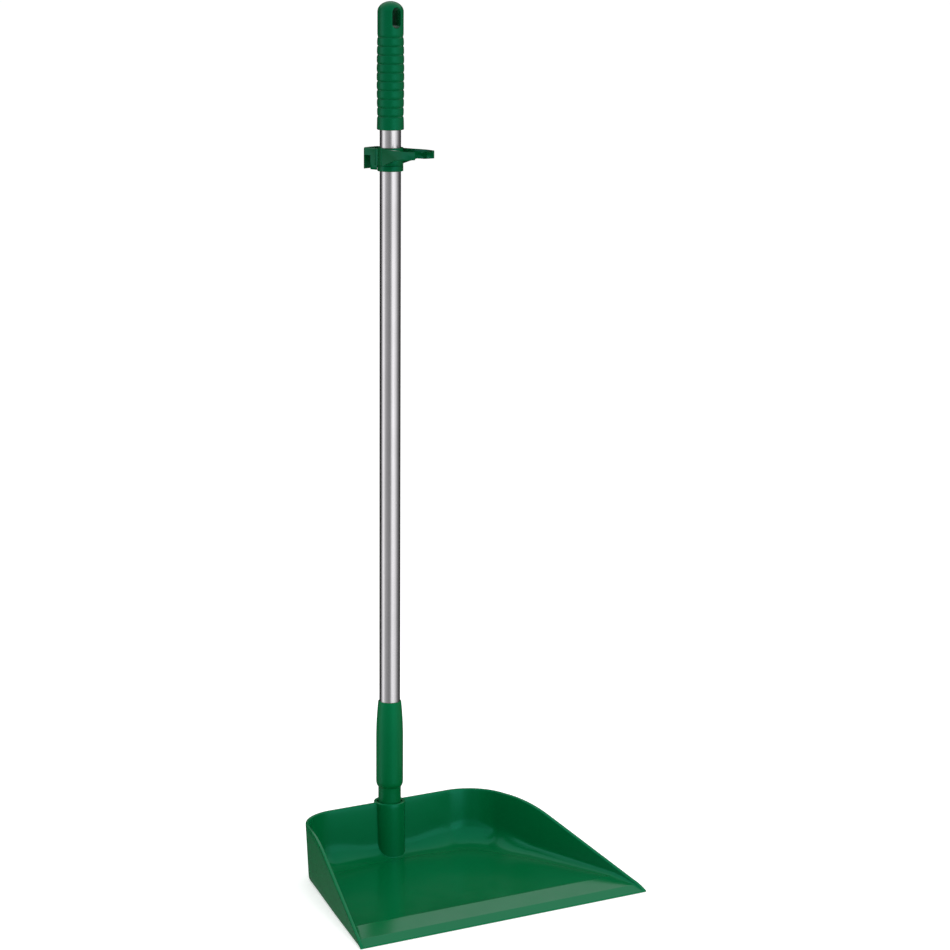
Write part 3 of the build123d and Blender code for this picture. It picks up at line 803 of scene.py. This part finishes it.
def grip_mesh():
    """The grip: ribbed outside with the hanging slot cut through its top."""
    columns, half_columns, rows = 96, 11, 26
    z_low, z_high = 997.5, 1029.5
    ends = [0.0, 0.15, 0.45, 0.9, 1.6]
    heights = [GRIP_LOW + e for e in ends] + list(np.linspace(GRIP_LOW + 3, GRIP_LOW + RIB_FIRST - 2.4, 8))
    heights += list(np.linspace(GRIP_LOW + RIB_FIRST - 1.8, GRIP_LOW + RIB_FIRST, 5))[:-1]
    for rib in range(RIBS):
        base = GRIP_LOW + RIB_FIRST + rib * RIB_PITCH
        heights += [base + RIB_PITCH * t for t in RIB_STEPS]
    base = GRIP_LOW + RIB_FIRST + RIBS * RIB_PITCH
    heights += [base, base + 0.2, base + 0.5, base + 1.0, base + 1.8, base + 3.0, base + 4.2]
    heights = [z for z in heights if z < z_low - 0.3]
    patch_from = len(heights)
    heights += list(np.linspace(z_low, z_high, rows + 1))
    patch_to = patch_from + rows
    heights += [GRIP_HIGH - DOME + DOME * math.sin(a) for a in np.radians(np.linspace(48, 88, 9))
                if GRIP_HIGH - DOME + DOME * math.sin(a) > z_high + 0.2]
    inset = {0.0: 0.9, 0.15: 0.5, 0.45: 0.2, 0.9: 0.05}
    verts, grid = [], []
    for z in heights:
        r = grip_radius(z) - inset.get(round(z - GRIP_LOW, 2), 0.0)
        grid.append(list(range(len(verts), len(verts) + columns)))
        for c in range(columns):
            a = 2 * math.pi * c / columns - math.pi / 2
            verts.append((r * math.cos(a), r * math.sin(a), z))
    faces = []

    def in_patch(row, column):
        if not patch_from <= row < patch_to:
            return False
        near = (column + half_columns) % (columns // 2)
        return near < 2 * half_columns

    for row in range(len(heights) - 1):
        for c in range(columns):
            if not in_patch(row, c):
                d = (c + 1) % columns
                faces.append((grid[row][c], grid[row][d], grid[row + 1][d], grid[row + 1][c]))
    pole = len(verts)
    verts.append((0, 0, GRIP_HIGH))
    for c in range(columns):
        faces.append((grid[-1][c], grid[-1][(c + 1) % columns], pole))
    fit = TUBE_R + 0.04
    bore = [(TUBE_R + 0.9, GRIP_LOW), (TUBE_R + 0.35, GRIP_LOW + 0.1)]
    bore += [(fit, GRIP_LOW + 0.5), (fit, TUBE_HIGH)]
    previous = grid[0]
    for r, z in bore:
        ring = list(range(len(verts), len(verts) + columns))
        for c in range(columns):
            a = 2 * math.pi * c / columns - math.pi / 2
            verts.append((r * math.cos(a), r * math.sin(a), z))
        for c in range(columns):
            d = (c + 1) % columns
            faces.append((ring[c], ring[d], previous[d], previous[c]))
        previous = ring
    faces.append(tuple(previous[::-1]))
    loops = []
    for side in (0, columns // 2):
        cols = [(side + i) % columns for i in range(-half_columns, half_columns + 1)]
        border = [(patch_from, c) for c in cols]
        border += [(r, cols[-1]) for r in range(patch_from + 1, patch_to)]
        border += [(patch_to, c) for c in cols[::-1]]
        border += [(r, cols[0]) for r in range(patch_to - 1, patch_from, -1)]
        ring = [grid[r][c] for r, c in border]
        sign = -1 if side == 0 else 1
        start = []
        for i in ring:
            x, y, z = verts[i]
            start.append((math.asin(max(-1, min(1, x / math.hypot(x, y)))), z, x))

        def outline(width):
            """Stadium points in the border points' directions."""
            pts = []
            for _, z, x in start:
                dx, dz = x, z - SLOT_Z
                t = width / abs(dx) if abs(dx) > 1e-9 else 1e9
                if abs(dz) * t > SLOT_STRAIGHT:
                    s = math.copysign(SLOT_STRAIGHT, dz)
                    aa, bb, cc = dx * dx + dz * dz, -2 * dz * s, s * s - width * width
                    t = (-bb + math.sqrt(bb * bb - 4 * aa * cc)) / 2 / aa
                pts.append((dx * t, SLOT_Z + dz * t))
            return pts

        wide = outline(SLOT_HALF + SLOT_EDGE)
        rings = [ring]
        for f in (0.14, 0.28, 0.42, 0.56, 0.70, 0.84, 1.0):
            new = []
            for (a, z, x), (ox, oz) in zip(start, wide):
                oa = math.asin(ox / grip_radius(oz))
                aa, zz = a + (oa - a) * f, z + (oz - z) * f
                r = grip_radius(zz)
                new.append(len(verts))
                verts.append((r * math.sin(aa), sign * r * math.cos(aa), zz))
            rings.append(new)
        for turn in np.radians([22, 45, 67, 90]):
            w = SLOT_HALF + SLOT_EDGE * (1 - math.sin(turn))
            new = []
            for ox, oz in outline(w):
                depth = math.sqrt(grip_radius(oz) ** 2 - ox * ox) - SLOT_EDGE * (1 - math.cos(turn))
                new.append(len(verts))
                verts.append((ox, sign * depth, oz))
            rings.append(new)
        for a, b in zip(rings, rings[1:]):
            for i in range(len(a)):
                j = (i + 1) % len(a)
                faces.append((a[i], a[j], b[j], b[i]))
        loops.append(rings[-1])
    front, rear = loops
    mirror = {(round(verts[i][0], 4), round(verts[i][2], 4)): i for i in rear}
    matched = [mirror[(round(verts[i][0], 4), round(verts[i][2], 4))] for i in front]
    for i in range(len(front)):
        j = (i + 1) % len(front)
        faces.append((front[i], front[j], matched[j], matched[i]))
    return verts, faces


# ---- the object -------------------------------------------------------------
def cut_by_cylinder(obj, radius, low, high):
    """Cuts a round hole through a piece, out of sight inside the socket."""
    verts, faces = lathe([(0, low), (radius, low), (radius, high), (0, high)], 64)
    mesh = bpy.data.meshes.new("cutter")
    mesh.from_pydata([tuple(MM * c for c in v) for v in verts], [], faces)
    cutter = bpy.data.objects.new("cutter", mesh)
    scene.collection.objects.link(cutter)
    modifier = obj.modifiers.new("socket", "BOOLEAN")
    modifier.operation = "DIFFERENCE"
    modifier.solver = "EXACT"
    modifier.object = cutter
    bpy.context.view_layer.update()
    graph = bpy.context.evaluated_depsgraph_get()
    result = bpy.data.meshes.new_from_object(obj.evaluated_get(graph))
    obj.modifiers.clear()
    obj.data = result
    bpy.data.objects.remove(cutter)


def oriented(mesh):
    """The mesh's faces turned to point outwards."""
    verts, faces = mesh
    v = np.array(verts, float)
    volume = 0.0
    for f in faces:
        for i in range(1, len(f) - 1):
            volume += np.dot(v[f[0]], np.cross(v[f[i]], v[f[i + 1]]))
    return verts, (faces if volume > 0 else [tuple(f)[::-1] for f in faces])


def build_pan(material):
    verts, faces = oriented(pan_shell())
    shell = make_piece("pan_shell", verts, faces, "pan_body", "pan_plastic", material, "pan")
    cut_by_cylinder(shell, SOCKET_R - 1.6, -5, PAN_HEIGHT + 5)
    finish = ("pan_body", "pan_plastic", material)
    make_piece("pan_socket", *oriented(lathe(socket_profile())), *finish)
    make_piece("pan_socket_fillet", *oriented(inner_blend()), *finish, sharp=60)
    for side, word in ((-1, "left"), (1, "right")):
        make_piece("pan_back_fillet_" + word, *oriented(outer_blend(side)), *finish, sharp=60)


def build_handle(ferrule, grip, metal):
    make_piece("ferrule_moulding", *oriented(lathe(ferrule_profile())),
               "handle", "handle_plastic", ferrule, "ferrule")
    make_piece("aluminium_tube", *oriented(lathe(tube_profile(), 160)),
               "handle", "tube_aluminium", metal, "tube")
    make_piece("grip_moulding", *oriented(grip_mesh()),
               "handle", "handle_plastic", grip, "grip", 50)


def finish_cad_node(name, material, edge):
    """A carried-over CAD node: its finish, and small rounds on its sharp edges."""
    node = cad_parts[name]
    node.data.materials.clear()
    node.data.materials.append(material)
    weld = node.modifiers.new("weld", "WELD")
    weld.merge_threshold = 0.00001
    bevel = node.modifiers.new("rounds", "BEVEL")
    bevel.width = edge * MM
    bevel.segments = 3
    bevel.limit_method = "ANGLE"
    bevel.angle_limit = math.radians(32)
    bevel.harden_normals = True
    node.data.shade_smooth()


CLIP_EDGE = 0.4              # millimetres
add_camera()
add_world()
add_floor()
middle = Vector((0, 0, 0.5))
add_area("key", polar(38, 1.9, 1.3), middle, (0.8, 1.6), 14)
add_area("left", polar(-128, 1.1, 0.12), Vector((-0.16, -0.15, 0.035)), (0.5, 0.2), 1.6)
add_area("top", Vector((0, 0.3, 2.6)), Vector((0, -0.1, 0)), (1.2, 1.2), 14)

pan_green = plastic("pan_polypropylene", (0.0, 0.140, 0.040), (0.0, 0.128, 0.036), 0.18, 0.02, 0.02, 0.5)
ferrule_green = plastic("ferrule_polypropylene", (0.0, 0.134, 0.034), (0.0, 0.122, 0.031), 0.34, 0.06)
grip_green = plastic("grip_polypropylene", (0.0, 0.088, 0.026), (0.0, 0.078, 0.023), 0.26, 0.06)
clip_green = plastic("clip_polypropylene", (0.0, 0.074, 0.020), (0.0, 0.064, 0.017), 0.14, 0.02)
aluminium = anodised("anodised_aluminium")
build_pan(pan_green)
build_handle(ferrule_green, grip_green, aluminium)
for name in ("clip_sleeve", "clip_jaw"):
    finish_cad_node(name, clip_green, CLIP_EDGE)
